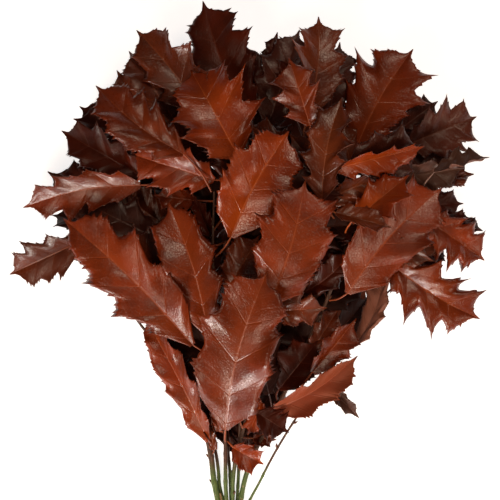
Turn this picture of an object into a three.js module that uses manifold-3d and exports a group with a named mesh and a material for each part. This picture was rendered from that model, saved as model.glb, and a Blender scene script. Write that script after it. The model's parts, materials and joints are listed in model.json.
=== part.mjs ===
// A bunch of cut oak branches in autumn leaf, lying on its back leaves and its binding. Millimetres. +Y
// runs from the cut ends to the top of the head, +Z is up, away from the surface the bunch lies on. While
// it is laid out, the origin is at the binding. The last lines move it to the middle of the box's
// underside.
import * as THREE from 'three';
import { mergeVertices } from 'three/addons/utils/BufferGeometryUtils.js';
import Module from 'manifold-3d';

const wasm = await Module();
wasm.setup();

// Driving dimensions
const BLADE = 0.7; // thickness of a leaf's blade
const RIDGE = 0.5; // how far the midrib stands out below the blade
const STALK = 0.9; // half the width of a leaf stalk
const STALK_SHORT = 14; // a stalk that reaches no stem
const STALK_REACH = [10, 80]; // shortest and longest way from a blade to its stem
const BLADE_FOOT = 4; // half the width of a blade where its stalk begins
const BLADE_POINT = 2.2; // half the width of a blade's end
const FULLNESS = 0.52; // less makes a blade broader towards its two ends
const GAP_DEPTH = 0.3; // depth of the gaps between lobes, as a share of the half width
const LOBE_AHEAD = 0.085; // how far the widest lobe leans forward, as a share of the leaf's length
const SMALL_LEAF = 85; // a leaf shorter than this has three lobes a side, a longer one four
const CLEAR = 1.0; // least gap between a blade and what is already there
const TOUCH = 0.35; // least gap between a stalk and what is already there
const LIFT_STEP = 3;
const MOST_LIFT = 150;
const STEM_SIDES = 8;
const STEM_STEPS = 18;
const STEM_END = 0.45; // a stem's radius at its top, as a share of that at the cut
const STEM_SAMPLES = 40; // places along a stem where a stalk may leave it
const TIE = { x: -10, z: 11.6, across: 19.5, deep: 9, wall: 2.6, length: 16, sides: 28 };

const TONES = {
  russet: 0x6e2814, orange: 0x84300f, brown: 0x5a2a18, dark: 0x3c1510, plum: 0x4a2226, grey: 0x66504c,
};
const SLIM = 20; // up to this height above the surface nothing is pressed down
const PRESS = 0.72; // how far the head above that height sinks under its own weight
const BARK = { green: 0x6b7838, brown: 0x5b3d24 };

// Each stem is its bark, its radius at the cut, and the points that it passes: the cut end, the binding,
// then up into the head.
const STEMS = [
  ['brown', 3.5, [-24, -34, 10], [-22, 0, 10.7], [-30, 32, 12], [-38, 90, 17],
    [-72, 200, 36], [-122, 330, 62], [-150, 430, 78]],
  ['green', 2.25, [-16, -30, 6], [-15.5, 0, 7.7], [-24, 32, 9], [-31, 84, 8], [-66, 160, 12],
    [-130, 250, 36], [-185, 330, 54]],
  ['green', 2.5, [-13, -37, 17], [-14.5, 0, 15.2], [-17, 32, 19], [-18, 112, 36],
    [-26, 220, 84], [-32, 320, 104], [-30, 400, 112]],
  ['green', 2, [-9, -28, 5], [-10, 0, 6.2], [-11.5, 32, 9], [-13, 66, 13], [-30, 200, 40],
    [-60, 350, 66], [-90, 480, 80]],
  ['green', 2.5, [-8, -36, 14], [-8.5, 0, 12.2], [-8.5, 32, 16], [-6, 66, 24], [28, 190, 64],
    [62, 300, 92], [84, 450, 104]],
  ['green', 2, [-4.5, -31, 4.5], [-4.5, 0, 6.7], [-2.5, 32, 9], [-1, 66, 12], [2, 200, 38],
    [6, 350, 62], [10, 490, 78]],
  ['brown', 3, [-1, -35, 15], [-2, 0, 13.2], [3.5, 32, 17], [12, 66, 23], [62, 170, 48],
    [114, 290, 74], [160, 440, 92]],
  ['brown', 1.5, [-3, -29, 8], [2, 0, 8.7], [19, 32, 13], [42, 78, 23], [76, 134, 38],
    [140, 225, 62], [190, 310, 70], [224, 378, 72]],
];

const leaf = (name, tone, base, tip, width, more = {}) => ({
  name: `leaf_${name}`, tone, base, tip, width, ...more,
});

// The leaves that the bunch lies on, face down and flat on the surface.
const UNDER = [
  leaf('under_1', 'dark', [-36, 172, 0], [-112, 312, 0], 72),
  leaf('under_2', 'brown', [48, 165, 0], [155, 300, 0], 88),
  leaf('under_3', 'dark', [0, 235, 0], [-15, 410, 0], 96),
  leaf('under_4', 'plum', [-105, 335, 0], [-235, 425, 0], 84),
  leaf('under_5', 'dark', [128, 345, 0], [246, 440, 0], 84),
  leaf('under_6', 'brown', [-60, 425, 0], [-95, 565, 0], 80),
  leaf('under_7', 'dark', [48, 420, 0], [90, 562, 0], 80),
];

// The other leaves from the lowest layer to the highest. Each is laid where it is wished, then lifted until
// it is clear of those before it. bend and arch push the middle of its midrib to the right and up; fold
// lifts both halves; roll lifts the right side.
const UPPER = [
  leaf('top_1', 'dark', [14, 486, 78], [-43, 626, 88], 90, { bend: -6, roll: 14 }),
  leaf('top_2', 'brown', [-80, 490, 80], [-131, 567, 84], 62, { roll: -16 }),
  leaf('top_3', 'brown', [-38, 480, 84], [-121, 592, 92], 84, { bend: 5, roll: 10, fold: 16 }),
  leaf('top_4', 'plum', [34, 478, 80], [71, 592, 88], 72, { roll: 16, fold: 18 }),
  leaf('top_5', 'brown', [82, 490, 84], [95, 605, 92], 72, { roll: -18, bend: 5 }),
  leaf('top_6', 'dark', [108, 485, 80], [121, 577, 86], 60, { roll: -24 }),
  leaf('top_7', 'russet', [142, 456, 90], [206, 568, 102], 104, { roll: 6, fold: 5, arch: 4, bend: -5 }),
  leaf('left_1', 'dark', [-136, 470, 80], [-197, 488, 78], 40, { roll: -20 }),
  leaf('left_2', 'dark', [-116, 418, 88], [-211, 472, 80], 64, { roll: 15 }),
  leaf('left_3', 'brown', [-184, 345, 60], [-278, 302, 40], 64, { roll: 22, depth: 0.32 }),
  leaf('left_4', 'plum', [-96, 342, 72], [-204, 396, 66], 70, { roll: -12 }),
  leaf('right_4', 'brown', [216, 412, 74], [281, 422, 66], 36, { roll: 22 }),
  leaf('right_5', 'grey', [166, 414, 84], [266, 428, 80], 56, { roll: -38 }),
  leaf('right_1', 'plum', [204, 458, 88], [283, 490, 80], 78, { roll: -16, depth: 0.34 }),
  leaf('right_2', 'grey', [232, 424, 80], [294, 440, 74], 40, { roll: 62 }),
  leaf('right_3', 'dark', [238, 374, 62], [293, 355, 52], 40, { roll: -20 }),
  leaf('right_6', 'russet', [226, 368, 84], [295, 320, 62], 76, { depth: 0.4, roll: 10 }),
  leaf('right_7', 'orange', [180, 316, 84], [289, 248, 60], 88, { depth: 0.42, roll: -8, bend: 5 }),
  leaf('front_2', 'russet', [130, 278, 92], [240, 402, 102], 92, { roll: -10, bend: -8, depth: 0.22 }),
  leaf('left_5', 'russet', [-119, 408, 104], [-258, 383, 78], 66, { roll: 18, bend: 7, depth: 0.38 }),
  leaf('left_6', 'brown', [-62, 260, 72], [-137, 346, 84], 74, { roll: -14, depth: 0.22 }),
  leaf('left_7', 'russet', [-30, 414, 96], [-126, 444, 100], 70, { roll: 20, depth: 0.34 }),
  leaf('top_8', 'russet', [84, 478, 96], [60, 554, 104], 70, { roll: 10, depth: 0.48 }),
  leaf('right_8', 'plum', [130, 430, 98], [211, 454, 96], 80, { roll: -24 }),
  leaf('right_9', 'orange', [112, 426, 108], [215, 452, 106], 54, { roll: -44, fold: 30 }),
  leaf('low_1', 'brown', [34, 256, 80], [101, 260, 88], 46, { roll: -18 }),
  leaf('low_2', 'dark', [48, 160, 48], [92, 216, 66], 60, { roll: 12, depth: 0.2 }),
  leaf('low_3', 'grey', [142, 216, 70], [174, 312, 84], 42, { roll: 48, bend: 8 }),
  leaf('low_4', 'russet', [88, 182, 60], [138, 244, 74], 46, { roll: -26, fold: 26 }),
  leaf('low_5', 'russet', [32, 133, 48], [139, 199, 70], 52, { fold: 36, roll: -22, bend: 7, depth: 0.2 }),
  leaf('low_6', 'dark', [22, 134, 52], [56, 112, 50], 46, { roll: 12 }),
  leaf('low_7', 'russet', [-38, 94, 24], [-113, 246, 80], 46, { fold: 12, roll: 22, bend: 3, depth: 0.16 }),
  leaf('front_1', 'russet', [-56, 216, 84], [-208, 365, 92], 90, { roll: 6, fold: 8, bend: 6, depth: 0.2 }),
  leaf('right_10', 'orange', [133, 364, 104], [197, 416, 110], 62, { roll: 16 }),
  leaf('right_11', 'brown', [114, 374, 108], [174, 358, 112], 38, { roll: 24, fold: 28 }),
  leaf('front_3', 'brown', [98, 390, 112], [120, 506, 124], 70,
    { roll: 12, fold: 14, bend: -6, depth: 0.42 }),
  leaf('front_4', 'russet', [-66, 444, 116], [-167, 522, 112], 82, { roll: -14, bend: -6 }),
  leaf('front_5', 'orange', [0, 440, 118], [-56, 542, 122], 108, { roll: -8, fold: 10, arch: 20 }),
  leaf('low_8', 'brown', [-14, 284, 104], [22, 344, 110], 56, { roll: 18, depth: 0.2 }),
  leaf('front_6', 'russet', [-37, 227, 96], [-84, 384, 118], 82, { roll: 12, bend: 6, depth: 0.2 }),
  leaf('front_7', 'russet', [35, 264, 112], [77, 407, 136], 98, { roll: -10, fold: 10, bend: 5, depth: 0.2 }),
  leaf('front_8', 'orange', [-10, 345, 128], [56, 467, 148], 98,
    { roll: -12, fold: 14, bend: -5, depth: 0.18 }),
  leaf('front_9', 'russet', [-17, 113, 54], [31, 300, 142], 98,
    { fold: 8, roll: 4, bend: -9, arch: 18, full: 0.4, depth: 0.15 }),
  leaf('low_9', 'orange', [-8, 88, 42], [25, 70, 46], 40, { roll: -8, depth: 0.22 }),
];

const vector = (point) => new THREE.Vector3(...point);
const pressed = ([x, y, z]) => [x, y, z > SLIM ? SLIM + (z - SLIM) * PRESS : z];

function solidOf(geometry) {
  return new wasm.Manifold(new wasm.Mesh({
    numProp: 3,
    vertProperties: new Float32Array(geometry.attributes.position.array),
    triVerts: new Uint32Array(geometry.index.array),
  }));
}

function welded(geometry) {
  geometry.deleteAttribute('normal');
  geometry.deleteAttribute('uv');
  return mergeVertices(geometry, 1e-3);
}

// A tapered rod bent along a path.
function stemGeometry(path, radius) {
  const rod = new THREE.CylinderGeometry(radius * STEM_END, radius, 1, STEM_SIDES, STEM_STEPS);
  const frames = path.computeFrenetFrames(STEM_STEPS);
  const points = rod.attributes.position;
  for (let i = 0; i < points.count; i++) {
    const along = points.getY(i) + 0.5;
    const step = Math.round(along * STEM_STEPS);
    const at = path.getPointAt(along)
      .addScaledVector(frames.normals[step], points.getX(i))
      .addScaledVector(frames.binormals[step], -points.getZ(i));
    points.setXYZ(i, at.x, at.y, at.z);
  }
  return welded(rod);
}

// A closed strip through rings of six points each: upper left, middle and right, then lower right, middle
// and left. Both faces are split along the same lines, which run from the midrib forward to the edge as
// side veins do.
function stripGeometry(rings) {
  const corners = [];
  const quad = (a, b, c, d) => corners.push(a, b, c, a, c, d);
  for (let i = 0; i + 1 < rings.length; i++) {
    const [uL, uM, uR, lR, lM, lL] = [0, 1, 2, 3, 4, 5].map((k) => 6 * i + k);
    quad(uM, uM + 6, uL + 6, uL);
    quad(uM, uR, uR + 6, uM + 6);
    quad(lM, lM + 6, lR + 6, lR);
    quad(lM, lL, lL + 6, lM + 6);
    quad(uL, uL + 6, lL + 6, lL);
    quad(uR, lR, lR + 6, uR + 6);
  }
  const end = 6 * (rings.length - 1);
  quad(0, 5, 4, 1);
  quad(1, 4, 3, 2);
  quad(end, end + 1, end + 4, end + 5);
  quad(end + 1, end + 2, end + 3, end + 4);
  const geometry = new THREE.BufferGeometry();
  const places = rings.flat().flatMap((p) => p.toArray());
  geometry.setAttribute('position', new THREE.Float32BufferAttribute(places, 3));
  geometry.setIndex(corners);
  return geometry;
}

// One ring: left and right are the edge points of the blade's middle plane.
function ringAt(middle, left, right, normal) {
  const raised = (point, by) => point.clone().addScaledVector(normal, by);
  const half = BLADE / 2;
  return [
    raised(left, half), raised(middle, half), raised(right, half),
    raised(right, -half), raised(middle, -half - RIDGE), raised(left, -half),
  ];
}

// A leaf's midrib at t from 0 to 1, with its directions there.
function midrib(row, lift, t) {
  const base = vector(row.base);
  const run = vector(row.tip).sub(base);
  const level = new THREE.Vector3(0, 0, 1);
  const aside = new THREE.Vector3().crossVectors(run, level).normalize();
  const bow = aside.multiplyScalar(row.bend ?? 0).addScaledVector(level, row.arch ?? run.length() * 0.07);
  const point = base.clone().addScaledVector(run, t);
  point.addScaledVector(bow, Math.sin(Math.PI * t)).addScaledVector(level, lift);
  const along = run.clone().addScaledVector(bow, Math.PI * Math.cos(Math.PI * t)).normalize();
  const right = new THREE.Vector3().crossVectors(along, level).normalize();
  const normal = new THREE.Vector3().crossVectors(right, along);
  const roll = THREE.MathUtils.degToRad(row.roll ?? 0);
  right.applyAxisAngle(along, -roll);
  normal.applyAxisAngle(along, -roll);
  return { point, along, right, normal };
}

// The blade widens to just past its middle. Lobes stand at the odd stations, with the gaps between them at
// the even ones.
function bladeRings(row, lift) {
  const length = vector(row.tip).distanceTo(vector(row.base));
  const lobes = length < SMALL_LEAF ? 3 : 4;
  const stations = 2 * lobes + 1;
  const fold = THREE.MathUtils.degToRad(row.fold ?? 12);
  const rings = [];
  for (let i = 0; i <= stations; i++) {
    const t = i / stations;
    const { point, along, right, normal } = midrib(row, lift, t);
    const swell = Math.sin(Math.PI * t ** 0.9) ** (row.full ?? FULLNESS);
    const cut = i % 2 ? 0 : row.depth ?? GAP_DEPTH;
    const edges = [-1, 1].map((side) => {
      const uneven = 1 + 0.07 * Math.sin(2.3 * i + side + row.width);
      const ends = i === 0 ? BLADE_FOOT : BLADE_POINT;
      const half = Math.max(BLADE_FOOT, row.width / 2 * swell * (1 - cut) * uneven);
      const out = i === 0 || i === stations ? ends : half;
      const ahead = i === 0 || i === stations ? 0 : LOBE_AHEAD * length * 2 * out / row.width;
      const wave = (row.wave ?? 0.03) * out * Math.sin(1.9 * i + 2 * side + row.width);
      return point.clone().addScaledVector(along, ahead)
        .addScaledVector(right, side * out * Math.cos(fold))
        .addScaledVector(normal, out * Math.sin(fold) + wave);
    });
    rings.push(ringAt(point, edges[0], edges[1], normal));
  }
  return rings;
}

// The stalk's two rings, from its stem or its free end to the blade's foot.
function stalkRings(row, lift, start, leaving) {
  const foot = midrib(row, lift, 0);
  const reach = start.distanceTo(foot.point);
  const path = new THREE.CubicBezierCurve3(
    start,
    start.clone().addScaledVector(leaving, reach * 0.3),
    foot.point.clone().addScaledVector(foot.along, -reach * 0.4),
    foot.point,
  );
  return [0, 0.5].map((t) => {
    const middle = path.getPoint(t);
    const along = path.getTangent(t);
    const right = foot.right.clone().addScaledVector(along, -foot.right.dot(along)).normalize();
    const normal = new THREE.Vector3().crossVectors(right, along);
    const edge = (side) => middle.clone().addScaledVector(right, side * STALK);
    return ringAt(middle, edge(-1), edge(1), normal);
  });
}

// Where a leaf's stalk may begin, the best first: places on stems behind its foot, then a short free end.
function stalkStarts(row, lift, stems) {
  const foot = midrib(row, lift, 0);
  const starts = [];
  for (const { path, radius } of stems) {
    for (let k = 4; k <= STEM_SAMPLES; k++) {
      const t = k / STEM_SAMPLES;
      const on = path.getPointAt(t);
      const to = foot.point.clone().sub(on);
      const reach = to.length();
      const straight = to.dot(foot.along) / reach;
      if (reach < STALK_REACH[0] || reach > STALK_REACH[1] || straight < 0.3) continue;
      const stemAlong = path.getTangentAt(t);
      const out = to.clone().addScaledVector(stemAlong, -to.dot(stemAlong)).normalize();
      const start = on.clone().addScaledVector(out, radius + 1.5);
      starts.push({ start, leaving: out.add(stemAlong).normalize(), cost: reach + 45 * (1 - straight) });
    }
  }
  starts.sort((a, b) => a.cost - b.cost);
  const free = foot.point.clone().addScaledVector(foot.along, -STALK_SHORT);
  return [...starts.slice(0, 12), { start: free, leaving: foot.along }];
}

function clearOf(solid, box, placed, gap) {
  const room = box.clone().expandByScalar(gap);
  return placed.every((other) => !room.intersectsBox(other.box) || solid.minGap(other.solid, gap * 2) >= gap);
}

function measured(geometry) {
  geometry.computeBoundingBox();
  return { geometry, solid: solidOf(geometry), box: geometry.boundingBox };
}

// Lays one leaf: the lowest lift at which its blade is clear, with the best stalk that is clear too.
function layLeaf(row, placed, stems, mostLift) {
  for (let lift = 0; lift <= mostLift; lift += LIFT_STEP) {
    const rings = bladeRings(row, lift);
    const blade = measured(stripGeometry(rings));
    if (!clearOf(blade.solid, blade.box, placed, CLEAR)) continue;
    for (const { start, leaving } of stalkStarts(row, lift, stems)) {
      const whole = measured(stripGeometry([...stalkRings(row, lift, start, leaving), ...rings]));
      if (clearOf(whole.solid, whole.box, placed, TOUCH)) return whole;
    }
  }
  throw new Error(`no room for ${row.name}`);
}

// A band round the stems, open along Y.
function bindingGeometry() {
  const outline = new THREE.Shape();
  outline.absellipse(0, 0, TIE.across + TIE.wall, TIE.deep + TIE.wall, 0, 2 * Math.PI);
  outline.holes.push(new THREE.Path().absellipse(0, 0, TIE.across, TIE.deep, 0, 2 * Math.PI));
  const band = new THREE.ExtrudeGeometry(outline, {
    depth: TIE.length, bevelEnabled: false, curveSegments: TIE.sides,
  });
  band.rotateX(Math.PI / 2);
  band.translate(TIE.x, TIE.length / 2, TIE.z);
  return welded(band);
}

function named(name, geometry, color, roughness) {
  const mesh = new THREE.Mesh(geometry, new THREE.MeshStandardMaterial({ color, roughness, metalness: 0 }));
  mesh.name = name;
  return mesh;
}

const bunch = new THREE.Group();
const placed = [];

const binding = measured(bindingGeometry());
placed.push(binding);
bunch.add(named('binding', binding.geometry, 0xb08a55, 0.9));

const stems = STEMS.map(([bark, radius, ...points], i) => {
  const path = new THREE.CatmullRomCurve3(points.map(pressed).map(vector), false, 'centripetal');
  const stem = measured(stemGeometry(path, radius));
  placed.push(stem);
  bunch.add(named(`stem_${i + 1}`, stem.geometry, BARK[bark], 0.6));
  return { path, radius };
});

for (const row of UNDER) {
  const flat = { fold: 0, wave: 0, arch: 0, roll: 180 };
  const [base, tip] = [row.base, row.tip].map(([x, y]) => [x, y, BLADE / 2]);
  const lying = { ...row, ...flat, base, tip };
  const laid = layLeaf(lying, placed, stems, 0);
  placed.push(laid);
  bunch.add(named(row.name, laid.geometry, TONES[row.tone], 0.6));
}

for (const row of UPPER) {
  const wished = { ...row, base: pressed(row.base), tip: pressed(row.tip) };
  const laid = layLeaf(wished, placed, stems, MOST_LIFT);
  placed.push(laid);
  bunch.add(named(row.name, laid.geometry, TONES[row.tone], 0.45));
}

const box = new THREE.Box3().setFromObject(bunch);
const middle = box.getCenter(new THREE.Vector3());
bunch.position.set(-middle.x, -middle.y, -box.min.z);

export default bunch;
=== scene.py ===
"""A bunch of cut oak branches in autumn leaf, lying on a pale floor and seen from straight above.

Each leaf follows its solid in the frame. The solid's stations give the midrib and the lobes, and the blade
between them gets its side veins, teeth, creases and curled margins here. The stems, with their buds, and the
twine that ties them follow their solids too. Smaller leaves, and darker ones that fill the inside of the
bunch, are planned here. Their darkness is painted shade: it stands for the shade deep in the bunch and
between the stems."""
import json
import math
import random

import bmesh
import bpy
from mathutils import Matrix, Vector, noise
from mathutils.bvhtree import BVHTree


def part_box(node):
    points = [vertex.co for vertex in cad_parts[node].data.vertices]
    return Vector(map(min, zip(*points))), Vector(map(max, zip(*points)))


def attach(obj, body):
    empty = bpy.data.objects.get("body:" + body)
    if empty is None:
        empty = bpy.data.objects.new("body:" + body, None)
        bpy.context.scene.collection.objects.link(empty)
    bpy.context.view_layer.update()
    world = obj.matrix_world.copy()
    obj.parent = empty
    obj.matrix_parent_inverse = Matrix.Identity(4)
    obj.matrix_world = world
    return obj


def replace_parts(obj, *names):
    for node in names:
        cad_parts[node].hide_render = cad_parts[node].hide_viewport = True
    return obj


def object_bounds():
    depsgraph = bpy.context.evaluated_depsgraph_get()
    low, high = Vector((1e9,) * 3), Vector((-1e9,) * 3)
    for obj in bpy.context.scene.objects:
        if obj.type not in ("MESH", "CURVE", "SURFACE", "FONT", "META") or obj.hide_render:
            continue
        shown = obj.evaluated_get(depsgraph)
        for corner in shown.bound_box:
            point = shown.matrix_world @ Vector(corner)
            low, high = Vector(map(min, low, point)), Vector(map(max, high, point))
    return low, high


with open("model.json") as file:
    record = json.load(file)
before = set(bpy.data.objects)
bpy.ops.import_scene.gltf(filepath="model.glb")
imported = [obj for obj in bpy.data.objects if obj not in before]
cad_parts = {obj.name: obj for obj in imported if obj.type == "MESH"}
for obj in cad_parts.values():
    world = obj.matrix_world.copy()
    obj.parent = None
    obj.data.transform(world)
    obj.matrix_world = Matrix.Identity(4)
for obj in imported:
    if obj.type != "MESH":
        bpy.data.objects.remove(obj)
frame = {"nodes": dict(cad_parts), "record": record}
cad_low, cad_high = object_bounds()

MM = 0.001
UP = Vector((0, 0, 1))

# Camera and light. The view is centred from the head's top and the bunch's middle line.
VIEW_WIDTH = 600 * MM  # where the leaves are
VIEW_DISTANCE = 2.3
SENSOR = 36.0
VIEW_FROM_TOP = 296.5 * MM
VIEW_ASIDE = 2 * MM
VIEW_LEVEL = 85 * MM
WARM_LIGHT = (1.0, 0.79, 0.60)
COOL_LIGHT = (1.0, 0.95, 0.90)
LIT_PLACE = Vector((0, 0, 80 * MM))  # what every softbox is turned to
FLOOR_GLOW = 0.8  # keeps the floor white where the bunch shades it
ROOM_GLOW = 0.06

# Leaf blades
SHEET_GAP = 1.22 * MM  # points of a leaf's solid closer than this are the two faces of one place
BLADE_THICK = 0.35 * MM
ROWS_PER_STATION = 10
ACROSS = (0.0, 0.05, 0.14, 0.26, 0.40, 0.54, 0.66, 0.77, 0.89, 1.0)
BRISTLE = 0.09  # how far a lobe's bristle stands past it, as a share of the half width
JUT_FROM = 0.62  # teeth and bristles bend only the blade outside this share of its half width
TIP_BRISTLE = 5 * MM
STALK_RADIUS = 1.15 * MM
RIB_FOOT = 0.85 * MM
RIB_POINT = 0.22 * MM
RIB_SUNK = 0.70  # how deep the midrib lies in the blade, as a share of its radius
STALK_STEPS = 8
RIB_STEPS = 4  # from one station to the next

# Stems and the twine
STEM_RING_GAP = 2.5 * MM
NODE_GAP = 34 * MM  # from one leaf scar to the next
SCAR_LENGTH = 2.4 * MM
SCAR_SWELLS = 0.22  # how much thicker a stem is at a scar
BARK_THICKENS = 1.12
BUD_SHARE = 0.6  # of the leaf scars
BUD = ((0.0, 0.7), (1.2, 1.5), (2.6, 1.75), (4.0, 1.35), (5.2, 0.7), (6.2, 0.15))  # mm along, mm radius
TWINE_TURNS = 6
TWINE_STEPS = 44  # in a turn
KNOT_STEPS = 60
KNOT_SIZE = 1.5 * MM
ROPE_STEPS = 240
STRAND = 0.78 * MM
STRAND_TWIST = 0.55 * MM
STRAND_TURNS_PER_ROUND = 9

# Leaves without a solid
FULLNESS = 0.52  # less makes a blade broader towards its two ends
HEAD_OUTLINE = (
    (-52, -193), (-82, -127), (-118, -61), (-166, -19), (-208, 21), (-250, 89), (-208, 155), (-166, 215),
    (-118, 263), (-40, 292), (26, 275), (86, 275), (116, 239), (194, 240), (230, 191), (262, 143), (262, 40),
    (230, -25), (164, -13), (150, -61), (110, -100), (50, -145), (20, -193), (-16, -200),
)  # mm, seen from above
CELL = 6 * MM  # between the places that are tested for cover
COVERS = 0.8  # a leaf surely covers what is under this share of its half width
HIGH_IN_HEAD = 64 * MM  # fillers that start above this get lit leaf tones; those below get dark tones that are painted shade
MOST_COVERING = 130
MOST_FILLERS = 170
TRIES = 9000
COVERING_TRIES = 0.8  # share of the tries that look for open places
FEWEST_NEW_CELLS = 3
FLOOR_ROOM = 4 * MM  # fillers stay this far above the floor
SIDE_ROLL = 1.6  # how much steeper the leaves that fill the sides lie
MOST_HIDDEN = 2  # points of a filler that may lie over a leaf that shows
LOW_LEAF = 8 * MM  # a leaf that stays below this lies on the floor


def smooth_path(points, t):
    """A point at t from 0 to 1 on a Catmull-Rom curve through points."""
    last = len(points) - 1
    x = min(max(t, 0.0), 1.0) * last
    i = min(int(x), last - 1)
    s = x - i
    b, c = points[i], points[i + 1]
    a = points[i - 1] if i else b * 2 - c
    d = points[i + 2] if i + 2 <= last else c * 2 - b
    square, cube = a * 2 - b * 5 + c * 4 - d, b * 3 - a - c * 3 + d
    return (b * 2 + (c - a) * s + square * s ** 2 + cube * s ** 3) * 0.5


def middle_of(group):
    return sum((v.co for v in group), Vector()) / len(group)


def read_leaf(node):
    """A solid leaf's stalk points and its stations, from its foot to its point and with its smooth side up.
    A station is (left, middle, right)."""
    bm = bmesh.new()
    bm.from_mesh(node.data)
    bmesh.ops.remove_doubles(bm, verts=bm.verts, dist=0.01 * MM)
    spots = []
    for v in bm.verts:
        near = [s for s in spots if any((v.co - w.co).length < SHEET_GAP for w in s)]
        spots = [s for s in spots if s not in near] + [sum(near, [v])]
    spot_of = {v: i for i, s in enumerate(spots) for v in s}
    beside = [set() for _ in spots]
    for e in bm.edges:
        a, b = (spot_of[v] for v in e.verts)
        if a != b:
            beside[a].add(b)
            beside[b].add(a)
    place = [middle_of(s) for s in spots]
    bm.free()
    start = next(i for i, near in enumerate(beside) if len(near) == 1)
    bend = next(iter(beside[start]))
    foot = beside[bend] - {start}
    middle = next(i for i in foot if len(beside[i] & foot) == 2)
    left, right = foot - {middle}
    seen, rows = {start, bend}, []
    while True:
        rows.append((left, middle, right))
        seen |= {left, middle, right}
        ahead = beside[middle] - seen
        if not ahead:
            break
        left, right = (next(i for i in beside[side] & ahead) for side in (left, right))
        middle = next(iter(ahead - {left, right}))
    stations = [tuple(place[i] for i in row) for row in rows]
    if facing(stations).z * (-1 if "under" in node.name else 1) < 0:
        stations = [(r, m, l) for l, m, r in stations]
    return [place[start], place[bend]], stations


def facing(stations):
    """The average direction of a leaf's smooth side."""
    run = stations[-1][1] - stations[0][1]
    return sum(((r - l).cross(run) for l, _, r in stations), Vector()).normalized()


def plan_leaf(base, tip, width, roll=0, fold=12, arch=0.07, bend=0.0, depth=0.3, start=None):
    """The stalk points and stations of a leaf that has no solid of its own."""
    base, tip = Vector(base), Vector(tip)
    run = tip - base
    lobes = 3 if run.length < 85 * MM else 4
    count = 2 * lobes + 1
    side = run.cross(UP).normalized()
    bow = side * bend + UP * arch * run.length
    stations = []
    for i in range(count + 1):
        t = i / count
        swell = math.sin(math.pi * t ** 0.9) ** FULLNESS if 0 < t < 1 else 0
        point = base + run * t + bow * math.sin(math.pi * t)
        along = (run + bow * math.pi * math.cos(math.pi * t)).normalized()
        across = Matrix.Rotation(math.radians(-roll), 3, along) @ along.cross(UP).normalized()
        normal = across.cross(along)
        cut = 0 if i % 2 else depth
        out = max(4 * MM, width / 2 * swell * (1 - cut)) if i < count else 2 * MM
        ahead = 0.17 * run.length * out / width if 0 < i < count else 0
        flat = out * math.cos(math.radians(fold))
        rise = out * math.sin(math.radians(fold))
        left, right = (point + along * ahead + across * s * flat + normal * rise for s in (-1, 1))
        stations.append((left, point, right))
    if start is None:
        start = base - run.normalized() * 14 * MM - UP * 2 * MM
    return [start, start.lerp(base, 0.5) - UP * 1 * MM], stations


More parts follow.
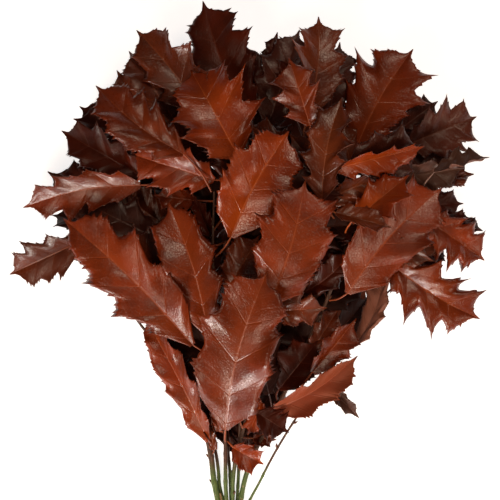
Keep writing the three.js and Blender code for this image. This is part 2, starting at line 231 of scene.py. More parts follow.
class Blade:
    """One leaf's surface: where the point at u along and v across lies. v is -1 on the left edge and 1 on the
    right one."""

    def __init__(self, stations, character):
        self.middle = [m for _, m, _ in stations]
        self.last = len(stations) - 1
        self.edges = {-1: [l - m for l, m, _ in stations], 1: [r - m for _, m, r in stations]}
        self.half = max(e.length for side in self.edges.values() for e in side)
        self.character = character
        self.normals = []
        for i, (left, _, right) in enumerate(stations):
            ahead = self.middle[min(i + 1, self.last)] - self.middle[max(i - 1, 0)]
            self.normals.append((right - left).cross(ahead).normalized())

    def normal(self, u):
        return smooth_path(self.normals, u).normalized()

    def sweep(self, side, i):
        """How far the point of a lobe leans towards the leaf's tip. The odd stations are the points."""
        return self.character["sweep"][side][i] if i % 2 and i < self.last else 0.0

    def edge(self, side, u):
        """The edge as seen from the midrib, with a round gap between two lobes, and how far it juts there."""
        x = u * self.last
        i = min(int(x + 1e-6), self.last - 1)
        s = min(max(x - i, 0.0), 1.0)
        row = round(s * ROWS_PER_STATION) % ROWS_PER_STATION
        lobe = self.character["lobe"]
        if i == self.last - 1:
            w = 1 - (1 - s) ** 1.9
        elif i % 2 == 0:
            w = s ** lobe
        else:
            w = 1 - (1 - s) ** (lobe * 0.9)
        uneven = self.character["uneven"]
        from_here = self.edges[side][i] * (uneven[side][i] if i else 1)
        offset = from_here.lerp(self.edges[side][i + 1] * uneven[side][i + 1], w)
        sweep = self.sweep(side, i) * (1 - w) + self.sweep(side, i + 1) * w
        ahead = smooth_path(self.middle, min(u + 0.02, 1)) - smooth_path(self.middle, max(u - 0.02, 0))
        offset += ahead.normalized() * offset.length * sweep
        if u > 0.999:
            return offset * 0.2, 0.0
        if row == 0 and i % 2 == 1 and s < 0.5:
            return offset, BRISTLE
        return offset, self.character["teeth"].get((side, i, row), 0.0) if i else 0.0

    def point(self, u, v):
        c = self.character
        side = -1 if v < 0 else 1
        a = abs(v)
        back = math.sin(math.pi * u) ** 0.5 / self.last if 0 < u < 1 else 0
        root = smooth_path(self.middle, u - back)
        offset, jut = self.edge(side, u)
        rim = smooth_path(self.middle, u) + offset
        if u > 0.999:
            ahead = (self.middle[-1] - self.middle[-2]).normalized() * TIP_BRISTLE
            root, rim = root + ahead, rim + ahead
        up = self.normal(u)
        flat_until, turn = c["curl"].get(side, (1.0, 0.0))
        ends = min(1.0, 5 * u, 4 * (1 - u))
        if a > flat_until and turn * ends:
            outward = rim - root
            angle = turn * ends * (a - flat_until) / (1 - flat_until)
            radius = outward.length * (1 - flat_until) / (turn * ends)
            start = root.lerp(rim, flat_until)
            flat = start + outward.normalized() * radius * math.sin(angle)
            flat += up * radius * (1 - math.cos(angle))
        else:
            flat = root.lerp(rim, a)
        vein_gap = 1 - abs((u * self.last + 1) % 2 - 1)
        flat += offset * (jut * max(0.0, (a - JUT_FROM) / (1 - JUT_FROM)) ** 1.5)
        height = c["quilt"] * (1 - (1 - vein_gap) ** 2) * a * (1.2 - a) * 3
        height += c["cup"] * self.half * 4 * a * (1 - a)
        height -= c["droop"] * self.half * a ** 3
        height += c["wave"] * a ** 2 * math.sin(c["waves"] * math.tau * u + c["phase"] + 1.3 * side)
        crease = 1 - 2 * abs(noise.noise(flat * 17 + Vector((c["phase"], 0, 0))))
        height += c["buckle"] * a * crease
        height += c["crinkle"] * a * noise.noise(flat * 75 + Vector((0, c["phase"], 0)))
        return flat + up * height * ends


def tube_mesh(path, radii, sides=8):
    """A round rod through points with a radius at each."""
    curve = bpy.data.curves.new("rod", "CURVE")
    curve.dimensions = "3D"
    curve.bevel_depth = 1.0
    curve.bevel_resolution = (sides - 4) // 2
    curve.use_fill_caps = True
    spline = curve.splines.new("POLY")
    spline.points.add(len(path) - 1)
    for p, at, radius in zip(spline.points, path, radii):
        p.co = (*at, 1)
        p.radius = radius
    holder = bpy.data.objects.new("rod", curve)
    mesh = bpy.data.meshes.new_from_object(holder)
    bpy.data.objects.remove(holder)
    bpy.data.curves.remove(curve)
    return mesh


def add_mesh(bm, mesh, slot):
    """Joins a mesh to bm with every face in one material slot, and returns the new faces."""
    before = len(bm.faces)
    bm.from_mesh(mesh)
    bpy.data.meshes.remove(mesh)
    bm.faces.ensure_lookup_table()
    added = bm.faces[before:]
    for face in added:
        face.material_index = slot
        face.smooth = True
    return added


def finish_piece(bm, name, materials):
    mesh = bpy.data.meshes.new(name)
    bm.to_mesh(mesh)
    bm.free()
    piece = bpy.data.objects.new(name, mesh)
    bpy.context.scene.collection.objects.link(piece)
    for material in materials:
        mesh.materials.append(material)
    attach(piece, "root")
    return piece


def thickened(bm, materials):
    """A blade with its thickness below it: its lower face and its rim take the second material."""
    sheet = bpy.data.meshes.new("sheet")
    bm.to_mesh(sheet)
    bm.free()
    for material in materials:
        sheet.materials.append(material)
    holder = bpy.data.objects.new("sheet", sheet)
    bpy.context.scene.collection.objects.link(holder)
    wall = holder.modifiers.new("wall", "SOLIDIFY")
    wall.thickness = BLADE_THICK
    wall.offset = -1
    wall.material_offset = wall.material_offset_rim = 1
    full = bpy.data.meshes.new_from_object(holder.evaluated_get(bpy.context.evaluated_depsgraph_get()))
    bpy.data.objects.remove(holder)
    bpy.data.meshes.remove(sheet)
    walled = bmesh.new()
    walled.from_mesh(full)
    bpy.data.meshes.remove(full)
    return walled


def leaf_character(name, **fixed):
    """What makes one leaf differ from the next. The same name always gives the same leaf."""
    draw = random.Random(name)
    teeth = {}
    for side in (-1, 1):
        for i in range(1, 10):
            for row in draw.sample(range(2, 9), draw.choice((1, 2, 2))):
                teeth[side, i, row] = draw.uniform(0.04, 0.12) * (2.2 if i > 6 else 1.0)
                teeth[side, i, row + 1] = -0.03
    curl = {}
    for side in (-1, 1):
        if draw.random() < 0.38:
            curl[side] = (draw.uniform(0.58, 0.78), draw.choice((-1, 1)) * draw.uniform(0.6, 1.7))
    character = {
        "lobe": draw.uniform(1.05, 1.6),
        "uneven": {side: [draw.uniform(0.86, 1.1) for _ in range(11)] for side in (-1, 1)},
        "quilt": draw.uniform(0.3, 1.1) * MM,
        "cup": draw.uniform(-0.03, 0.05),
        "droop": draw.uniform(-0.05, 0.14),
        "wave": draw.uniform(1.5, 4.0) * MM,
        "waves": draw.uniform(1.6, 3.4),
        "phase": draw.uniform(0, math.tau),
        "buckle": draw.uniform(3, 7) * MM,
        "crinkle": draw.uniform(0.8, 1.9) * MM,
        "teeth": teeth,
        "curl": curl,
        # Per-leaf brightness: random tone here; some leaves raise it for a painted highlight, and the fillers
        # lower it for painted shade.
        "shade": draw.uniform(0.8, 1.18),
        "turned": False,
        "sweep": {side: [draw.uniform(-0.1, 0.36) for _ in range(11)] for side in (-1, 1)},
    }
    character.update(fixed)
    return character


def make_leaf(name, stalk, stations, tone, character):
    """A leaf as one piece: a thin blade with an upper and a lower face, and the stalk that runs on as its
    midrib."""
    blade = Blade(stations, character)
    rows = ROWS_PER_STATION * blade.last
    columns = [-a for a in reversed(ACROSS[1:])] + list(ACROSS)
    bm = bmesh.new()
    uv_layer = bm.loops.layers.uv.new("blade")
    bmesh.ops.create_grid(bm, x_segments=len(columns) - 1, y_segments=rows, size=1)
    grid = {}
    for vert in bm.verts:
        column = round((vert.co.x + 1) / 2 * (len(columns) - 1))
        row = round((vert.co.y + 1) / 2 * rows)
        grid[vert] = (row / rows, columns[column])
        vert.co = blade.point(*grid[vert])
    for face in bm.faces:
        face.smooth = True
        for loop in face.loops:
            u, v = grid[loop.vert]
            loop[uv_layer].uv = (u * blade.last, v)
    surfaces = [LEAF_UPPER[tone], LEAF_LOWER[tone], LEAF_RIB[tone]]
    if character["turned"]:
        surfaces[:2] = surfaces[1], surfaces[0]
    bm = thickened(bm, surfaces)
    steps = RIB_STEPS * blade.last
    rib = [smooth_path([*stalk, blade.middle[0]], k / STALK_STEPS) for k in range(STALK_STEPS)]
    radii = [STALK_RADIUS] * STALK_STEPS
    for k in range(steps + 1):
        u = k / steps
        radius = RIB_FOOT + (RIB_POINT - RIB_FOOT) * u ** 0.8
        rib.append(smooth_path(blade.middle, u) - blade.normal(u) * radius * RIB_SUNK)
        radii.append(radius)
    add_mesh(bm, tube_mesh(rib, radii), 2)
    piece = finish_piece(bm, name, surfaces)
    # The per-leaf brightness for the materials, partly random tone and partly painted light.
    shade = piece.data.attributes.new("shade", "FLOAT", "POINT")
    shade.data.foreach_set("value", [character["shade"]] * len(piece.data.vertices))
    return piece


# ---- Materials ----


class Value:
    """The output of a shader node. Sums and products of values add the Math nodes."""

    def __init__(self, shader, socket):
        self.shader, self.socket = shader, socket

    def maths(self, operation, *values):
        return self.shader.node("ShaderNodeMath", {"operation": operation}, dict(enumerate(values)))

    def __add__(self, other):
        return self.maths("ADD", self, other)

    def __sub__(self, other):
        return self.maths("SUBTRACT", self, other)

    def __rsub__(self, other):
        return self.maths("SUBTRACT", other, self)

    def __mul__(self, other):
        return self.maths("MULTIPLY", self, other)

    def __mod__(self, other):
        return self.maths("MODULO", self, other)

    def __abs__(self):
        return self.maths("ABSOLUTE", self)

    __radd__, __rmul__ = __add__, __mul__

    def between(self, low, high):
        """0 at low, 1 at high, with a smooth step between."""
        settings = {"interpolation_type": "SMOOTHSTEP"}
        inputs = {"Value": self, "From Min": low, "From Max": high}
        return self.shader.node("ShaderNodeMapRange", settings, inputs)


class Shader:
    """A material's nodes, made by one method."""

    def __init__(self, name):
        self.material = bpy.data.materials.new(name)
        self.material.use_nodes = True
        self.tree = self.material.node_tree
        self.tree.nodes.clear()

    def node(self, kind, settings=None, inputs=None, output=0):
        made = self.tree.nodes.new(kind)
        for key, value in (settings or {}).items():
            setattr(made, key, value)
        for key, value in (inputs or {}).items():
            if isinstance(value, Value):
                self.tree.links.new(value.socket, made.inputs[key])
            else:
                made.inputs[key].default_value = value
        return Value(self, made.outputs[output]) if made.outputs else None

    def places(self):
        return self.node("ShaderNodeTexCoord", output="Object")

    def noise(self, scale, detail=3, rough=0.5, stretch=None, distortion=0.0):
        where = self.places()
        if stretch:
            where = self.node("ShaderNodeMapping", None, {"Vector": where, "Scale": stretch})
        inputs = {"Vector": where, "Scale": scale, "Detail": detail, "Roughness": rough}
        inputs["Distortion"] = distortion
        return self.node("ShaderNodeTexNoise", None, inputs)

    def mix(self, factor, a, b):
        a, b = ((*c, 1) if isinstance(c, tuple) else c for c in (a, b))
        return self.node("ShaderNodeMix", {"data_type": "RGBA"}, {0: factor, 6: a, 7: b}, output=2)

    def scaled(self, colour, factor):
        """A colour times a value."""
        return self.node("ShaderNodeVectorMath", {"operation": "SCALE"}, {0: colour, "Scale": factor})

    def bump(self, height, strength, distance):
        inputs = {"Height": height, "Strength": strength, "Distance": distance}
        return self.node("ShaderNodeBump", None, inputs)

    def surface(self, **inputs):
        sockets = {key.replace("_", " "): value for key, value in inputs.items()}
        shader = self.node("ShaderNodeBsdfPrincipled", None, sockets)
        self.node("ShaderNodeOutputMaterial", None, {"Surface": shader})
        return self.material


def vein_masks(shader):
    """Masks for the side veins, the small veins between them and the midrib, and how far across the blade a
    place is."""
    uv = shader.node("ShaderNodeUVMap", {"uv_map": "blade"})
    along = shader.node("ShaderNodeSeparateXYZ", None, {0: uv})
    across = abs(shader.node("ShaderNodeSeparateXYZ", None, {0: uv}, output=1))
    bent = along + shader.noise(30, detail=2) * 0.12
    side_vein = abs((bent + 1) % 2 - 1).between(0.93, 0.99) * (1 - across * 0.7)
    minor = abs((bent * 3 + across * 0.7 + 1) % 2 - 1).between(0.86, 0.98)
    minor = minor * across.between(0.05, 0.4) * 0.4
    midrib = 1 - across.between(0.0, 0.06)
    return side_vein, minor, midrib, across


def leaf_upper(tone, deep, light, vein, painted_sheen, skin, shine):
    """The smooth upper face: mottled, with patches of painted pinkish sheen, light veins, a satin skin and a
    fine net of small veins.
    """
    s = Shader(f"leaf_{tone}_upper")
    side_vein, minor, midrib, across = vein_masks(s)
    mottle = s.noise(26, detail=5, rough=0.62)
    patches = s.noise(11, detail=2)
    colour = s.mix(mottle.between(0.32, 0.7), deep, light)
    # Painted sheen: random patches turn towards a pale pinkish colour that stands for gloss highlights.
    colour = s.mix(patches.between(0.5, 0.78) * 0.6, colour, painted_sheen)
    colour = s.mix((1 - across) * patches.between(0.62, 0.4) * 0.35, colour, vein)
    colour = s.mix(side_vein * 0.34, colour, vein)
    colour = s.mix(minor * 0.22, colour, vein)
    colour = s.mix(midrib * 0.4, colour, vein)
    # Scaled by the per-leaf brightness: random tone, with painted highlight and painted shade on some leaves.
    shade = s.node("ShaderNodeAttribute", {"attribute_name": "shade"}, output="Fac")
    colour = s.scaled(colour, shade)
    where = {"Vector": s.places(), "Scale": 300}
    net = s.node("ShaderNodeTexVoronoi", {"feature": "DISTANCE_TO_EDGE"}, where)
    grain = s.noise(190, detail=5, rough=0.62)
    wrinkles = s.noise(55, detail=3, distortion=0.6)
    height = grain * 0.35 + wrinkles * 1.6 + net.between(0.0, 0.15) * 0.22
    height = height - side_vein * 0.8 - minor * 0.4
    rough = grain * 0.14 + patches * 0.24 + (skin - 0.19)
    return s.surface(
        Base_Color=colour, Roughness=rough, Specular_IOR_Level=shine,
        Normal=s.bump(height, 0.55, 0.6 * MM),
    )


def leaf_lower(tone, colour_a, colour_b, vein):
    """The matte underside, paler and greyer, with veins that stand out."""
    s = Shader(f"leaf_{tone}_lower")
    side_vein, minor, midrib, across = vein_masks(s)
    mottle = s.noise(30, detail=5, rough=0.6)
    colour = s.mix(mottle.between(0.3, 0.7), colour_a, colour_b)
    colour = s.mix(side_vein * 0.6 + minor * 0.5, colour, vein)
    # Scaled by the same per-leaf brightness: random tone, with painted highlight and painted shade on some
    # leaves.
    shade = s.node("ShaderNodeAttribute", {"attribute_name": "shade"}, output="Fac")
    colour = s.scaled(colour, shade)
    grain = s.noise(240, detail=4, rough=0.6)
    height = grain * 0.5 + side_vein * 1.2 + minor * 0.6
    return s.surface(
        Base_Color=colour, Roughness=grain * 0.2 + 0.45, Specular_IOR_Level=0.4,
        Normal=s.bump(height, 0.6, 0.5 * MM),
    )


def leaf_rib(tone, light, dark):
    """The stalk and midrib, smooth and lighter than the blade."""
    s = Shader(f"leaf_{tone}_rib")
    colour = s.mix(s.noise(60, detail=3).between(0.3, 0.7), dark, light)
    return s.surface(Base_Color=colour, Roughness=s.noise(200, detail=2) * 0.2 + 0.36)


def srgb(red, green, blue):
    """A colour given as screen values from 0 to 255."""
    shares = (c / 255 for c in (red, green, blue))
    return tuple(((c + 0.055) / 1.055) ** 2.4 if c > 0.04 else c / 12.92 for c in shares)


# tone: (deep colour, light colour, vein colour, painted sheen colour, roughness, specular level)
TONES = {
    "russet": (srgb(92, 29, 5), srgb(127, 44, 12), srgb(156, 70, 30), srgb(126, 56, 34), 0.27, 0.45),
    "orange": (srgb(112, 33, 3), srgb(144, 51, 7), srgb(176, 80, 28), srgb(142, 62, 30), 0.23, 0.5),
    "brown": (srgb(78, 27, 8), srgb(112, 43, 16), srgb(140, 68, 32), srgb(114, 57, 37), 0.27, 0.42),
    "dark": (srgb(46, 10, 2), srgb(72, 20, 5), srgb(94, 36, 16), srgb(70, 26, 14), 0.34, 0.22),
    "plum": (srgb(54, 20, 13), srgb(80, 36, 26), srgb(100, 54, 39), srgb(80, 52, 46), 0.30, 0.32),
    "grey": (srgb(70, 41, 32), srgb(98, 62, 50), srgb(118, 80, 64), srgb(90, 66, 60), 0.36, 0.35),
    # A near-black, matte tone that is painted shade: it darkens the leaves deep in the bunch and between the
    # stems.
    "inner": (srgb(32, 8, 2), srgb(54, 16, 4), srgb(70, 26, 9), srgb(44, 14, 7), 0.5, 0.12),
}
LEAF_UPPER, LEAF_LOWER, LEAF_RIB = {}, {}, {}
for tone_name, (deep, light, vein, painted_sheen, rough, shine) in TONES.items():
    LEAF_UPPER[tone_name] = leaf_upper(tone_name, deep, light, vein, painted_sheen, rough, shine)
    pale = tuple(0.6 * c + 0.4 * g for c, g in zip(light, srgb(112, 58, 38)))
    paler = tuple(0.5 * c + 0.5 * g for c, g in zip(pale, srgb(122, 70, 50)))
    LEAF_LOWER[tone_name] = leaf_lower(tone_name, pale, paler, tuple(1.25 * c for c in paler))
    LEAF_RIB[tone_name] = leaf_rib(tone_name, vein, tuple(0.75 * c for c in vein))


# ---- Stems and twine ----


def read_stem(node):
    """The middle and the radius of each ring of a stem's solid, from the cut end up."""
    bm = bmesh.new()
    bm.from_mesh(node.data)
    bmesh.ops.remove_doubles(bm, verts=bm.verts, dist=0.01 * MM)
    ring = {min((v for v in bm.verts if len(v.link_edges) == 8), key=lambda v: v.co.y)}
    seen, rings = set(ring), []
    while ring:
        ring = {e.other_vert(v) for v in ring for e in v.link_edges} - seen
        seen |= ring
        if len(ring) > 1:
            corners = sorted(ring, key=lambda v: tuple(v.co))
            middle = middle_of(corners)
            radius = sum((v.co - middle).length for v in corners) / len(corners)
            rings.append((middle, radius))
    bm.free()
    return rings


def make_stem(name, rings):
    """A stem with a swelling at each leaf scar, buds on some of them, and a pale cut end."""
    draw = random.Random(name)
    middles = [m for m, _ in rings]
    length = sum((b - a).length for a, b in zip(middles, middles[1:]))
    scars = []
    at = draw.uniform(0.2, 0.9) * NODE_GAP
    while at < length:
        scars.append(at)
        at += NODE_GAP * draw.uniform(0.7, 1.3)
    steps = round(length / STEM_RING_GAP)
    path, radii = [], []
    for k in range(steps + 1):
        t = k / steps
        x = t * (len(rings) - 1)
        i = min(int(x), len(rings) - 2)
        radius = rings[i][1] + (rings[i + 1][1] - rings[i][1]) * (x - i)
        swelling = sum(math.exp(-(((t * length - scar) / SCAR_LENGTH) ** 2)) for scar in scars)
        point = smooth_path(middles, t)
        rough = 0.05 * noise.noise(point * 150)
        path.append(point)
        radii.append(radius * (BARK_THICKENS + SCAR_SWELLS * swelling + rough))
    bm = bmesh.new()
    for face in add_mesh(bm, tube_mesh(path, radii, sides=12), 0):
        if len(face.verts) > 4:
            face.material_index = 1
            face.smooth = False
    for scar in scars:
        if draw.random() < BUD_SHARE:
            k = min(round(scar / length * steps), steps - 1)
            along = (path[k + 1] - path[k]).normalized()
            turn = Matrix.Rotation(draw.uniform(0, math.tau), 3, along)
            out = turn @ along.cross(UP).normalized()
            lean = (along + out * 0.55).normalized()
            foot = path[k] + out * radii[k] * 0.7
            bud = [foot + lean * far * MM for far, _ in BUD]
            add_mesh(bm, tube_mesh(bud, [wide * MM * 0.8 for _, wide in BUD]), 2)
    piece = finish_piece(bm, name, [BARK, CUT_WOOD, BUD_SCALES])
    return piece


def make_twine(name, low, high):
    """Turns of two-strand twine round the stems, with a knot on top and two loose ends."""
    centre = (low + high) / 2
    room = STRAND + STRAND_TWIST
    across, deep = (high.x - low.x) / 2 - room, (high.z - low.z) / 2 - room
    steps = TWINE_STEPS * TWINE_TURNS
    core = []
    for k in range(steps + 1):
        t = k / steps
        angle = math.pi / 2 + t * TWINE_TURNS * math.tau
        y = low.y + room + (high.y - low.y - 2 * room) * t
        core.append(Vector((centre.x + across * math.cos(angle), y, centre.z + deep * math.sin(angle))))
    top = Vector((centre.x, centre.y, high.z - room))
    knot = []
    for k in range(KNOT_STEPS):
        t = 0.45 + k / (KNOT_STEPS - 1) * (math.tau - 0.9)
        x, y = math.sin(t) + 2 * math.sin(2 * t), math.cos(t) - 2 * math.cos(2 * t)
        knot.append(top + Vector((x, y, -math.sin(3 * t))) * KNOT_SIZE + UP * 1.6 * MM)
    ends = [Vector((9, 13, -2)) * MM, Vector((15, 21, -6)) * MM, Vector((17, 30, -9)) * MM]
    first = [knot[0] + Vector((-e.x, e.y, e.z)) for e in reversed(ends)]
    rope = first + knot + [knot[-1] + e for e in ends]
    rope = [smooth_path(rope, k / (ROPE_STEPS - 1)) for k in range(ROPE_STEPS)]
    bm = bmesh.new()
    for run, twists in ((core, TWINE_TURNS * STRAND_TURNS_PER_ROUND), (rope, 16)):
        for strand in (0, math.pi):
            path = []
            for k, point in enumerate(run):
                ahead = (run[min(k + 1, len(run) - 1)] - run[max(k - 1, 0)]).normalized()
                side = ahead.cross(Vector((0.1, 1, 0.2))).normalized()
                turn = Matrix.Rotation(strand + twists * math.tau * k / len(run), 3, ahead)
                path.append(point + turn @ side * STRAND_TWIST)
            add_mesh(bm, tube_mesh(path, [STRAND] * len(path)), 0)
    piece = finish_piece(bm, name, [TWINE])
    return piece


def bark():
    """Young bark: green by the cut end, turning brown up the stem, with pale lenticels and fine lines."""
    s = Shader("oak_bark")
    y = s.node("ShaderNodeSeparateXYZ", None, {0: s.places()}, output=1)
    patches = s.noise(30, detail=4, rough=0.6)
    browning = (y + patches * 0.03).between(-0.232, -0.205)
    lines = s.noise(1, detail=4, rough=0.6, stretch=(900, 60, 900))
    green = s.mix(lines.between(0.3, 0.7), srgb(62, 84, 38), srgb(106, 124, 62))
    brown = s.mix(lines.between(0.3, 0.7), srgb(62, 34, 22), srgb(98, 62, 42))
    colour = s.mix(browning, green, brown)
    spots = s.noise(1, detail=1, stretch=(420, 260, 420)).between(0.66, 0.72)
    colour = s.mix(spots * 0.7, colour, srgb(160, 140, 106))
    height = lines * 0.5 + spots * 0.8
    return s.surface(Base_Color=colour, Roughness=patches * 0.2 + 0.4, Normal=s.bump(height, 0.5, 0.4 * MM))


def cut_wood():
    """The pale cut face of a stem, with fine pores."""
    s = Shader("oak_cut_wood")
    pores = s.noise(1400, detail=2)
    colour = s.mix(pores.between(0.4, 0.6), srgb(176, 150, 100), srgb(206, 188, 140))
    return s.surface(Base_Color=colour, Roughness=pores * 0.2 + 0.7, Normal=s.bump(pores, 0.4, 0.2 * MM))


def bud_scales():
    """Brown, slightly glossy bud scales."""
    s = Shader("oak_bud_scales")
    scales = s.noise(420, detail=3)
    colour = s.mix(scales.between(0.35, 0.65), srgb(70, 32, 18), srgb(120, 66, 38))
    return s.surface(Base_Color=colour, Roughness=scales * 0.2 + 0.35, Normal=s.bump(scales, 0.5, 0.3 * MM))


def twine():
    """Natural fibre: straw colour, matte and hairy."""
    s = Shader("jute_twine")
    fibres = s.noise(1, detail=5, rough=0.7, stretch=(1500, 500, 1500))
    colour = s.mix(fibres.between(0.3, 0.7), srgb(120, 92, 56), srgb(186, 158, 112))
    return s.surface(Base_Color=colour, Roughness=fibres * 0.2 + 0.75, Normal=s.bump(fibres, 0.8, 0.4 * MM))


BARK, CUT_WOOD, BUD_SCALES, TWINE = bark(), cut_wood(), bud_scales(), twine()

# ---- Filling the bunch ----


def coarse_surface(stations, share=1.0):
    """A few faces for each leaf, out to a share of its half width."""
    points, faces = [], []
    for left, middle, right in stations:
        points += [middle.lerp(left, share), middle, middle.lerp(right, share)]
    for i in range(len(stations) - 1):
        for k in (0, 1):
            a = 3 * i + k
            faces.append((a, a + 1, a + 4, a + 3))
    return BVHTree.FromPolygons(points, faces)


def box_of(stations):
    points = [p for station in stations for p in station]
    return tuple(f(p[axis] for p in points) for axis in range(3) for f in (min, max))


def boxes_meet(a, b):
    return all(a[k] < b[k + 1] and b[k] < a[k + 1] for k in (0, 2, 4))


def inside_head(x, y):
    """Whether a place seen from above is in the outline of the head."""
    inside = False
    corners = [(cx * MM, cy * MM) for cx, cy in HEAD_OUTLINE]
    for (x0, y0), (x1, y1) in zip(corners, corners[1:] + corners[:1]):
        if (y0 > y) != (y1 > y) and x < x0 + (y - y0) / (y1 - y0) * (x1 - x0):
            inside = not inside
    return inside


class Canopy:
    """The leaves laid so far, and the places in the head that none of them covers from above."""

    def __init__(self):
        self.laid, self.showing = [], []
        lows = [math.floor(min(c[axis] for c in HEAD_OUTLINE) * MM / CELL) for axis in (0, 1)]
        highs = [math.ceil(max(c[axis] for c in HEAD_OUTLINE) * MM / CELL) for axis in (0, 1)]
        self.open_cells = {
            (i, j)
            for i in range(lows[0], highs[0] + 1) for j in range(lows[1], highs[1] + 1)
            if inside_head(i * CELL, j * CELL)
        }

    def cells_under(self, tree, box):
        lows = [math.ceil(box[k] / CELL) for k in (0, 2)]
        highs = [math.floor(box[k] / CELL) for k in (1, 3)]
        found = set()
        for i in range(lows[0], highs[0] + 1):
            for j in range(lows[1], highs[1] + 1):
                if (i, j) in self.open_cells and tree.ray_cast(Vector((i * CELL, j * CELL, 1)), -UP)[0]:
                    found.add((i, j))
        return found

    def lay(self, stations):
        box = box_of(stations)
        self.laid.append((coarse_surface(stations), box))
        self.open_cells -= self.cells_under(coarse_surface(stations, COVERS), box)

    def has_room(self, tree, box):
        return not any(boxes_meet(box, other) and tree.overlap(laid) for laid, other in self.laid)

    def meets(self, point, way, trees):
        return any(
            box[0] <= point.x <= box[1] and box[2] <= point.y <= box[3] and tree.ray_cast(point, way)[0]
            for tree, box in trees
        )

    def would_hide(self, rim):
        """Whether leaves that show would go out of sight below these points."""
        hidden = 0
        for point in rim:
            if not self.meets(point, UP, self.laid) and self.meets(point, -UP, self.showing):
                hidden += 1
        return hidden > MOST_HIDDEN


def fill_head(canopy, stems):
    """Leaves on the stems, inside the head, that cross no other. First they cover what is open from above.
    Then they fill the bunch out as seen from its sides."""
    draw = random.Random("inside of the bunch")
    fillers = []
    for attempt in range(TRIES):
        for_sides = attempt > TRIES * COVERING_TRIES or len(fillers) >= MOST_COVERING
        if len(fillers) == MOST_FILLERS:
            break
        middles = draw.choice(stems)
        t = draw.uniform(0.22, 0.98)
        start = smooth_path(middles, t)
        heading = smooth_path(middles, min(t + 0.05, 1)) - smooth_path(middles, t - 0.05)
        angle = math.atan2(heading.y, heading.x)
        angle += math.radians(draw.choice((-1, 1)) * draw.uniform(5, 95))
        climb = draw.uniform(-0.35, 0.3)
        way = Vector((math.cos(angle), math.sin(angle), climb)).normalized()
        length = draw.uniform(70, 135) * MM
        base = start + way * draw.uniform(12, 45) * MM + UP * draw.uniform(-14, 14) * MM
        width = length * draw.uniform(0.5, 0.68)
        roll, fold, bend = draw.uniform(-35, 35), draw.uniform(4, 20), draw.uniform(-8, 8) * MM
        if for_sides:
            roll *= SIDE_ROLL
        stalk, stations = plan_leaf(base, base + way * length, width, roll, fold, bend=bend, start=start)
        rim = [p for left, middle, right in stations for p in (left, middle, right)]
        if min(p.z for p in rim) < FLOOR_ROOM or not all(inside_head(p.x, p.y) for p in rim):
            continue
        tree, box = coarse_surface(stations), box_of(stations)
        if not for_sides:
            new_cells = canopy.cells_under(coarse_surface(stations, COVERS), box)
            if len(new_cells) < FEWEST_NEW_CELLS:
                continue
        if not canopy.has_room(tree, box) or canopy.would_hide(rim):
            continue
        canopy.lay(stations)
        seen = for_sides or start.z > HIGH_IN_HEAD
        # Fillers low in the head take the darkest tones as painted shade for the shade inside the bunch.
        tones = ("russet", "brown", "dark", "brown") if seen else ("inner", "inner", "dark")
        fillers.append((stalk, stations, draw.choice(tones)))
    return fillers


# ---- Pieces ----

# Leaves whose look is their own
OWN_LOOK = {
    "leaf_front_4": {"quilt": 2.2 * MM, "curl": {}, "cup": 0.02},
    "leaf_front_5": {"curl": {}, "quilt": 0.5 * MM, "lobe": 1.3},
    "leaf_front_6": {"curl": {1: (0.72, -1.6)}},
    "leaf_front_7": {"curl": {}, "lobe": 1.3},
    "leaf_front_8": {"curl": {}, "lobe": 1.25, "quilt": 0.6 * MM},
    "leaf_front_9": {"curl": {1: (0.8, -0.9)}, "lobe": 1.3, "wave": 3.5 * MM, "buckle": 6 * MM},
    "leaf_right_1": {"shade": 1.3},
    "leaf_right_7": {"curl": {}, "lobe": 1.4, "shade": 0.75},
    "leaf_left_3": {"shade": 0.75},
    "leaf_left_5": {"shade": 0.82},
    # Brightened as a painted highlight: the pinkish gloss of this crumpled leaf.
    "leaf_low_7": {
        "curl": {-1: (0.6, -0.8)}, "shade": 1.3,
        "crinkle": 3 * MM, "wave": 4 * MM, "waves": 4.4, "buckle": 8 * MM,
    },
    "leaf_low_3": {"turned": True, "shade": 1.3},
    # Brightened partly for its paler underside and partly as a painted highlight.
    "leaf_low_5": {"curl": {1: (0.5, 1.2)}, "turned": True, "shade": 1.45},
}

# The underside of the bunch lies flat
FLAT_LOOK = {"cup": 0.0, "droop": 0.0, "wave": 0.0, "buckle": 0.0, "quilt": 0.0, "crinkle": 0.0, "curl": {}}

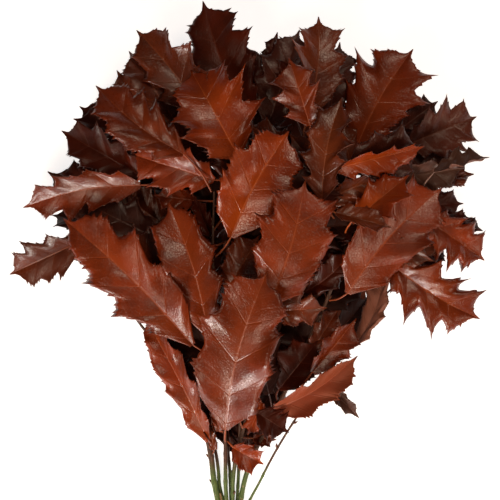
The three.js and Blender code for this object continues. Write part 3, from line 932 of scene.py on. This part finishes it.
# Small leaves without a solid: foot, point, width (mm), tone. The darkest ones, low among the stems at the
# foot of the head, are painted shade: dark sheets that fill the shade between the stems.
SMALL_LEAVES = (
    ((23, 251, 62), (34, 294, 68), 30, "dark"),
    ((16, -151, 44), (1, -188, 34), 28, "orange"),
    ((-36, -187, 30), (-44, -144, 34), 16, "russet"),
    ((-76, -136, 30), (-106, -116, 26), 24, "brown"),
    ((-56, -150, 16), (-100, -66, 20), 46, "inner"),
    ((-46, -160, 28), (-84, -86, 36), 34, "dark"),
    ((-72, -112, 12), (-108, -58, 16), 42, "inner"),
    ((-34, -150, 12), (-58, -84, 12), 46, "inner"),
    ((8, -200, 12), (34, -158, 12), 34, "inner"),
    ((-42, -211, 22), (-50, -168, 26), 18, "brown"),
    ((-24, -214, 8), (-16, -172, 8), 26, "inner"),
    ((0, -216, 8), (10, -174, 8), 24, "inner"),
    ((-63, 95, 70), (-110, 101, 68), 38, "russet"),
    ((-46, 52, 74), (-64, 96, 78), 24, "dark"),
    ((-130, 203, 66), (-157, 249, 64), 36, "brown"),
    ((76, -88, 48), (108, -39, 52), 32, "brown"),
    ((188, 185, 66), (226, 213, 62), 38, "plum"),
    ((-4, -182, 30), (46, -166, 32), 44, "dark"),
    ((6, -196, 26), (30, -198, 24), 26, "brown"),
    ((-42, -190, 24), (-30, -150, 30), 22, "dark"),
    ((-20, -205, 22), (-44, -176, 22), 20, "inner"),
    ((-8, -206, 14), (-12, -160, 12), 30, "inner"),
    ((4, -206, 12), (18, -156, 10), 34, "inner"),
    ((-45, -195, 14), (-82, -105, 14), 34, "inner"),
    ((-40, -180, 22), (-66, -105, 26), 26, "dark"),
    ((-26, -206, 10), (-40, -150, 8), 32, "inner"),
    ((212, 118, 58), (262, 150, 54), 46, "plum"),
    ((205, 90, 52), (258, 92, 46), 44, "dark"),
    ((165, 170, 56), (216, 192, 54), 46, "plum"),
    ((178, 140, 54), (238, 166, 50), 52, "dark"),
    ((148, 205, 58), (196, 224, 56), 44, "dark"),
    ((-150, 172, 56), (-202, 208, 50), 44, "dark"),
    ((-172, 118, 50), (-226, 128, 44), 44, "dark"),
    ((2, 215, 66), (-4, 282, 70), 56, "dark"),
    ((50, 210, 66), (58, 270, 70), 48, "dark"),
    ((88, -121, 32), (133, -168, 24), 20, "grey"),
)

record_slots = {part["node"]: part["material_slot"] for part in frame["record"]["subparts"]}
stem_nodes = [name for name in frame["nodes"] if name.startswith("stem_")]
leaf_nodes = [name for name in frame["nodes"] if name.startswith("leaf_")]

stem_middles = []
for node_name in stem_nodes:
    stem_rings = read_stem(frame["nodes"][node_name])
    stem_middles.append([middle for middle, _ in stem_rings])
    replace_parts(make_stem(f"oak_{node_name}", stem_rings), node_name)

band_low, band_high = (Vector(corner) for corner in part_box("binding"))
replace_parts(make_twine("twine", band_low, band_high), "binding")

canopy = Canopy()
for node_name in leaf_nodes:
    stalk_points, leaf_stations = read_leaf(frame["nodes"][node_name])
    canopy.lay(leaf_stations)
    leaf_tone = record_slots[node_name].removeprefix("leaf_")
    look = FLAT_LOOK if "under" in node_name else OWN_LOOK.get(node_name, {})
    piece_name = node_name.replace("leaf_", "oak_leaf_")
    character = leaf_character(node_name, **look)
    leaf_piece = make_leaf(piece_name, stalk_points, leaf_stations, leaf_tone, character)
    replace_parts(leaf_piece, node_name)

stem_places = [smooth_path(m, k / 40) for m in stem_middles for k in range(41)]
for number, (foot, point, width, leaf_tone) in enumerate(SMALL_LEAVES, 1):
    foot, point = Vector(foot) * MM, Vector(point) * MM
    way = (point - foot).normalized()
    near = min(stem_places, key=lambda place: (place - foot).length - 0.5 * way.dot(foot - place))
    stalk_points, leaf_stations = plan_leaf(foot, point, width * MM, start=near)
    canopy.lay(leaf_stations)
    piece_name = f"small_leaf_{number}"
    make_leaf(piece_name, stalk_points, leaf_stations, leaf_tone, leaf_character(piece_name))

canopy.showing = [laid for laid in canopy.laid if laid[1][5] > LOW_LEAF]
for number, (stalk_points, leaf_stations, leaf_tone) in enumerate(fill_head(canopy, stem_middles), 1):
    piece_name = f"inner_leaf_{number}"
    # All fillers are dimmed to 0.8 as painted shade for their place inside the bunch.
    character = leaf_character(piece_name, shade=0.8)
    make_leaf(piece_name, stalk_points, leaf_stations, leaf_tone, character)

# ---- Stage ----


def make_camera():
    camera = bpy.data.objects.new("camera", bpy.data.cameras.new("camera"))
    bpy.context.scene.collection.objects.link(camera)
    camera.data.sensor_width = SENSOR
    camera.data.lens = SENSOR * VIEW_DISTANCE / VIEW_WIDTH
    camera.data.clip_end = 20
    across = (cad_low[0] + cad_high[0]) / 2 + VIEW_ASIDE
    up_the_bunch = cad_high[1] - VIEW_FROM_TOP
    camera.location = (across, up_the_bunch, VIEW_LEVEL + VIEW_DISTANCE)
    bpy.context.scene.camera = camera


def area_light(name, place, size, power, colour=WARM_LIGHT):
    """A softbox turned to the middle of the bunch, with its place and its size in metres."""
    lamp = bpy.data.lights.new(name, "AREA")
    lamp.shape = "RECTANGLE"
    lamp.size, lamp.size_y = size
    lamp.energy = power
    lamp.color = colour
    holder = bpy.data.objects.new(name, lamp)
    holder.location = place
    holder.rotation_euler = (LIT_PLACE - Vector(place)).to_track_quat("-Z", "Y").to_euler()
    bpy.context.scene.collection.objects.link(holder)


def make_floor():
    s = Shader("floor_white")
    tint = s.mix(s.noise(3, detail=2), (0.86, 0.86, 0.86), (0.90, 0.90, 0.90))
    material = s.surface(
        Base_Color=tint, Roughness=0.9, Specular_IOR_Level=0.1,
        Emission_Color=(1, 1, 1, 1), Emission_Strength=FLOOR_GLOW,
    )
    bm = bmesh.new()
    bmesh.ops.create_grid(bm, x_segments=1, y_segments=1, size=6)
    mesh = bpy.data.meshes.new("floor")
    bm.to_mesh(mesh)
    bm.free()
    mesh.materials.append(material)
    floor = bpy.data.objects.new("floor", mesh)
    bpy.context.scene.collection.objects.link(floor)


def make_stage():
    make_camera()
    make_floor()
    area_light("softbox_left", (-0.75, -0.85, 1.95), (0.6, 0.6), 9.4)
    area_light("softbox_top", (0.75, 0.85, 1.95), (0.55, 0.55), 9.4)
    area_light("softbox_right", (1.6, -1.2, 1.5), (0.7, 0.5), 9.8)
    area_light("softbox_foot", (-0.4, -2.0, 1.3), (0.9, 0.5), 15)
    area_light("softbox_low", (-0.6, -1.8, 0.85), (0.5, 0.35), 24, COOL_LIGHT)
    world = bpy.data.worlds.new("studio")
    world.use_nodes = True
    background = world.node_tree.nodes["Background"]
    background.inputs["Color"].default_value = (*WARM_LIGHT, 1)
    background.inputs["Strength"].default_value = ROOM_GLOW
    bpy.context.scene.world = world
    bpy.context.scene.view_settings.view_transform = "Standard"


make_stage()
